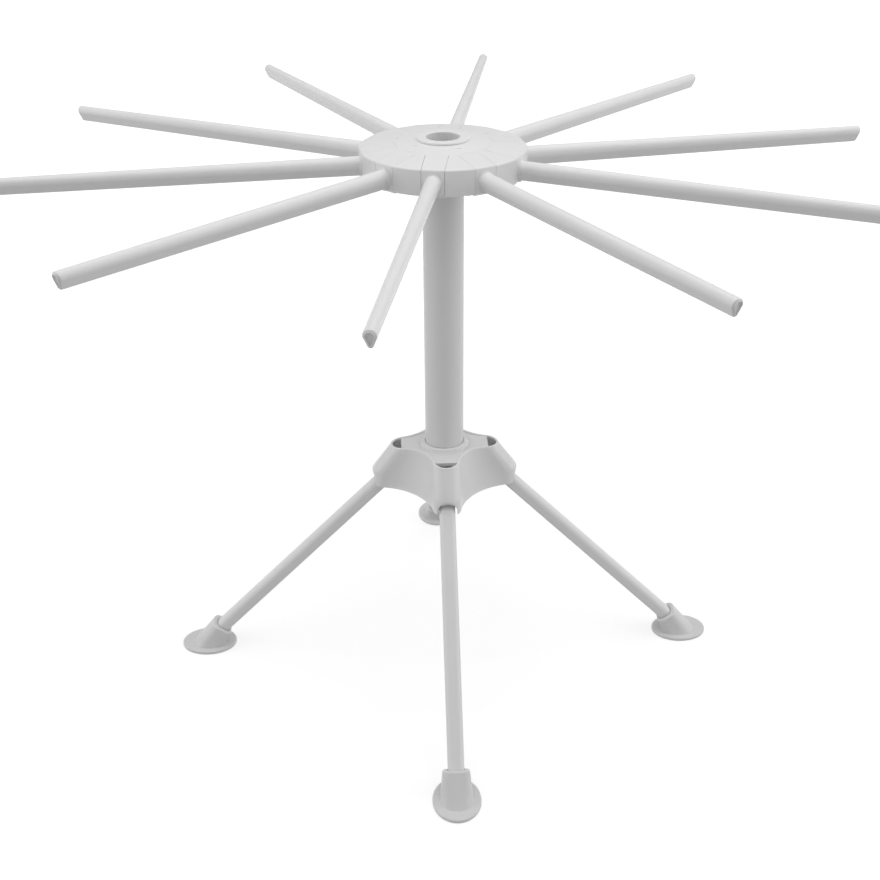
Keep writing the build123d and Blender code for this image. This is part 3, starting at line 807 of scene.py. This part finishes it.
# Arms
# Each arm is one moulding: a block that fills the hub's slot flush with its top, and a slim bar with a
# round back and a narrow underside that thins towards a slanted tip with a bead round a small sunk panel.
arm_reach = 213.37 * MM
root_half_width = 5.33 * MM
root_start = 23.06 * MM
root_heel = rim_top - 3.2 * MM
root_heel_end = 26.6 * MM
root_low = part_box("arm_1")[0].z
root_slope_end = wire_circle - 2.78 * MM
root_nose = 1.4 * MM
root_edge = 0.12 * MM
ridge_height = rim_top - 2.5 * MM
rod_start = hub_radius - 2.0 * MM
rod_flare = 0.7 * MM
root_size = np.array((7.4, 9.2, 1.5)) * MM
tip_size = np.array((5.3, 7.6, 1.2)) * MM
tip_slant = 1.3 * MM
tip_round = 0.8 * MM
tip_border = 0.75 * MM
tip_bead = 0.35 * MM
keel_least = 0.05 * MM


def rod_rows(along, inset, slanted):
    """Drop-shaped rings of the bar: a round back and a round underside joined by straight flanks.

    The flank touches both rounds, so it leans by the arc sine of their radii's difference over their
    centres' distance. Width, height and underside go evenly from the root's to the tip's sizes.
    """
    share = np.clip((along - rod_start) / (arm_reach - rod_start), 0, 1)[:, None]
    width, height, keel = (root_size[k] + share * (tip_size[k] - root_size[k]) for k in range(3))
    crown_height, keel_height = ridge_height - width / 2, ridge_height - height + keel
    crown, keel = width / 2 - inset[:, None], np.maximum(keel - inset[:, None], keel_least)
    lean = np.arcsin((crown - keel) / (crown_height - keel_height))
    share_of_arc = np.linspace(0, 1, 21)
    over = -lean + (pi + 2 * lean) * share_of_arc
    under = pi + lean + (pi - 2 * lean) * np.linspace(0, 1, 11)
    y = np.concatenate((crown * np.cos(over), keel * np.cos(under)), axis=1)
    z = np.concatenate((crown_height + crown * np.sin(over), keel_height + keel * np.sin(under)), axis=1)
    y, z = np.concatenate((y, y[:, :1]), axis=1), np.concatenate((z, z[:, :1]), axis=1)
    fall = slanted[:, None] * (ridge_height - z) * tip_slant / tip_size[1]
    return np.stack((along[:, None] - fall, y, z), axis=-1)


def rod_grid():
    turn = np.linspace(0, pi / 2, 6)
    flare_at = hub_radius + rod_flare * (1 - np.cos(turn))
    flare_out = -rod_flare * (1 - np.sin(turn))
    body = np.linspace(hub_radius + 2 * rod_flare, arm_reach - 4 * tip_slant, 12)
    tip_at = arm_reach - tip_bead - tip_round * (1 - np.sin(turn))
    tip_in = tip_round * (1 - np.cos(turn))
    panel_at = arm_reach - np.array((1, 0.2, 0, 0.2, 2, 2)) * tip_bead
    panel_in = tip_border + np.array((0, 0.2, 0.6, 1.0, 1.4, 2.0)) * tip_bead
    along = np.concatenate(([rod_start], flare_at, body, tip_at, panel_at))
    inset = np.concatenate(([-rod_flare], flare_out, 0 * body, tip_in, panel_in))
    straight, sloped = np.zeros(1 + len(turn)), np.ones(len(turn) + len(panel_at))
    slanted = np.concatenate((straight, np.linspace(0, 1, len(body)), sloped))
    rings = rod_rows(along, inset, slanted)
    ends = [np.broadcast_to(ring.mean(axis=0), ring.shape)[None] for ring in (rings[0], rings[-1])]
    return np.concatenate((ends[0], rings, ends[1]))


def root_block():
    """The block's side outline, thickened, then bent so that its outer face follows the hub's rim.

    A point at a radius r near the rim moves in to the square root of r^2 - y^2.
    """
    top_slope = hub_dome_rise / (hub_radius - bush_flange_radius)
    outline = [
        (root_start, root_heel),
        (root_heel_end, root_heel),
        (root_slope_end, root_low),
        (hub_radius - root_nose, root_low),
        (hub_radius, root_low + root_nose),
        (hub_radius, rim_top),
        (root_start, rim_top + (hub_radius - root_start) * top_slope),
    ]
    rounds = np.array((0.3, 0.3, 0.6, 0.5, 0.5, 0.9, 0.1)) * MM
    middle = (wire_circle, root_heel + MM)
    grid = side_plate(outline, rounds, -root_half_width, root_half_width, root_edge, middle)
    x, y = grid[..., 0], grid[..., 1]
    near_rim = np.clip((x - root_heel_end) / (hub_radius - root_heel_end), 0, 1)
    bent = x + near_rim * (np.sqrt(x**2 - y**2) - x)
    return np.stack((bent, y, grid[..., 2]), axis=-1)


rod = rod_grid()
root = root_block()
for number, turn in enumerate(arm_turns, 1):
    arm = add_piece(f"arm_bar_{number}", turned(rod, turn), turned(root, turn))
    finish_piece(arm, white_finish, f"arm_{number}", "white_plastic", f"arm_{number}")

# Floor, light and camera
# A white sweep that keeps the rack's shadow, a large soft box above and paler ones at the sides,
# and the camera at the photograph's height and distance.
camera_distance = 613.9 * MM
camera_height = 458.4 * MM
camera_pitch = radians(31.05)
camera_turn = radians(-2.25)
camera_roll = radians(-0.28)
picture_size = 880
focal_pixels = 1298.9
optical_centre = (444.7, 505.6)

floor_half = 4.0
floor_corners = [[(-1, -1, 0), (1, -1, 0)], [(-1, 1, 0), (1, 1, 0)]]
floor = add_piece("floor", floor_half * np.array(floor_corners, float))
finish = Finish("pale floor")
path = finish.node("ShaderNodeLightPath", {}, {}, output="Is Camera Ray")
gloss = finish.node("ShaderNodeLightPath", {}, {}, output="Is Glossy Ray")
# The floor's glow goes from grey at 0.125 m from the middle to full white at 1.375 m.
far = finish.node("ShaderNodeVectorMath", {"operation": "LENGTH"}, {0: finish.place()}, output="Value")
white = finish.mix(far * 0.8 - 0.1, grey(0.59), grey(1.1))
glow = finish.node("ShaderNodeEmission", {}, {"Color": white, "Strength": 1.0 * (path + gloss)})
matt = finish.node("ShaderNodeBsdfDiffuse", {}, {"Color": grey(0.55)})
both = finish.node("ShaderNodeAddShader", {}, {0: glow, 1: matt})
finish.node("ShaderNodeOutputMaterial", {}, {"Surface": both})
floor.data.materials.append(finish.material)

world = bpy.data.worlds.new("pale room")
bpy.context.scene.world = world
world.use_nodes = True
backdrop = world.node_tree.nodes["Background"]
backdrop.inputs["Color"].default_value = grey(1.0)
backdrop.inputs["Strength"].default_value = 0.41


def soft_box(name, place, size, power):
    """A square lamp that faces the middle of the rack."""
    lamp = bpy.data.lights.new(name, "AREA")
    lamp.shape = "SQUARE"
    lamp.size = size
    lamp.energy = power
    holder = bpy.data.objects.new(name, lamp)
    holder.location = place
    holder.visible_camera = False
    target = np.array((0, 0, 0.2)) - np.array(place)
    flat = sqrt(target[0] ** 2 + target[1] ** 2)
    holder.rotation_euler = (atan2(flat, -target[2]), 0, atan2(target[1], target[0]) - pi / 2)
    bpy.context.scene.collection.objects.link(holder)


soft_box("overhead soft box", (0.05, 0.0, 0.72), 0.85, 2.15)
soft_box("left soft box", (-1.1, -0.1, 0.5), 0.8, 3)
soft_box("right soft box", (1.1, -0.1, 0.5), 0.8, 3)

camera = bpy.data.objects.new("camera", bpy.data.cameras.new("camera"))
bpy.context.scene.collection.objects.link(camera)
camera.location = (camera_distance * sin(camera_turn), -camera_distance * cos(camera_turn), camera_height)
aim = Euler((pi / 2 - camera_pitch, 0, camera_turn)).to_matrix() @ Matrix.Rotation(camera_roll, 3, "Z")
camera.rotation_euler = aim.to_euler()
camera.data.sensor_width = 36.0
camera.data.lens = focal_pixels / picture_size * camera.data.sensor_width
camera.data.shift_x = (picture_size / 2 - optical_centre[0]) / picture_size
camera.data.shift_y = (optical_centre[1] - picture_size / 2) / picture_size
bpy.context.scene.camera = camera
bpy.context.scene.view_settings.view_transform = "Standard"
